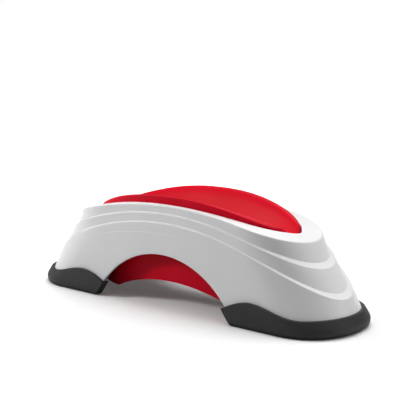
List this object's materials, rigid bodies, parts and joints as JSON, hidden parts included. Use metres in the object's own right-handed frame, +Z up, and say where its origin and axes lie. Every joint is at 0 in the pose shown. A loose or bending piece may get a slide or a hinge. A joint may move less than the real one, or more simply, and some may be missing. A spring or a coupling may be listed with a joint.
{
  "type": "bike trainer front riser block",
  "caption": "Stepped moulded block on rubber boots with a cradle for a bicycle's front wheel that rises through the top and locks at several heights.",
  "frame": {"origin": "middle of the footprint, on the floor", "axes": "+X along the block, from the left leg to the right leg; -Y is the visible front side; +Z up"},
  "size_m": [0.346, 0.1012, 0.0987],
  "materials": {
    "white_plastic": "satin white moulding with a soft sheen",
    "red_plastic": "satin deep red moulding",
    "rubber": "matt charcoal rubber",
    "grey_plastic": "plain grey structural plastic",
    "dark_plastic": "dark grey bearing plastic",
    "steel": "bright zinc plated steel"
  },
  "bodies": {
    "base": {"shell": "white_plastic", "boot_left": "rubber", "boot_right": "rubber", "leg_plate_left": "grey_plastic", "leg_plate_right": "grey_plastic", "rack_tower_left": "grey_plastic", "rack_tower_right": "grey_plastic", "plate_screw_left_front_heel": "steel", "plate_screw_left_front_toe": "steel", "plate_screw_left_rear_heel": "steel", "plate_screw_left_rear_toe": "steel", "plate_screw_right_front_heel": "steel", "plate_screw_right_front_toe": "steel", "plate_screw_right_rear_heel": "steel", "plate_screw_right_rear_toe": "steel", "tower_screw_left_front": "steel", "tower_screw_left_rear": "steel", "tower_screw_right_front": "steel", "tower_screw_right_rear": "steel", "stop_pad_left_front": "rubber", "stop_pad_left_rear": "rubber", "stop_pad_right_front": "rubber", "stop_pad_right_rear": "rubber"},
    "carriage": {"cradle": "red_plastic", "knob_pivot": "steel", "bolt_bridge_left": "grey_plastic", "bolt_bridge_right": "grey_plastic", "bridge_screw_left_front": "steel", "bridge_screw_left_rear": "steel", "bridge_screw_right_front": "steel", "bridge_screw_right_rear": "steel"},
    "knob": {"lock_knob": "dark_plastic", "crank_pin_left": "steel", "crank_pin_right": "steel"},
    "bolt_left": {"lock_bolt_left": "dark_plastic"},
    "bolt_right": {"lock_bolt_right": "dark_plastic"}
  },
  "joints": [
    {"name": "cradle_lift", "type": "slide", "parent": "base", "child": "carriage", "axis": [0, 0, 1], "range_m": [0, 0.05]},
    {"name": "knob_turn", "type": "hinge", "parent": "carriage", "child": "knob", "pos_m": [0, 0, 0.0287], "axis": [0, 0, 1], "range_deg": [0, 45]},
    {"name": "bolt_right_slide", "type": "slide", "parent": "carriage", "child": "bolt_right", "axis": [1, 0, 0], "range_m": [0, 0.00612]},
    {"name": "bolt_left_slide", "type": "slide", "parent": "carriage", "child": "bolt_left", "axis": [-1, 0, 0], "range_m": [0, 0.00612]}
  ],
  "couplings": [
    {"joint": "bolt_right_slide", "follows": "knob_turn", "m_per_rad": 0.0077959},
    {"joint": "bolt_left_slide", "follows": "knob_turn", "m_per_rad": 0.0077959}
  ]
}
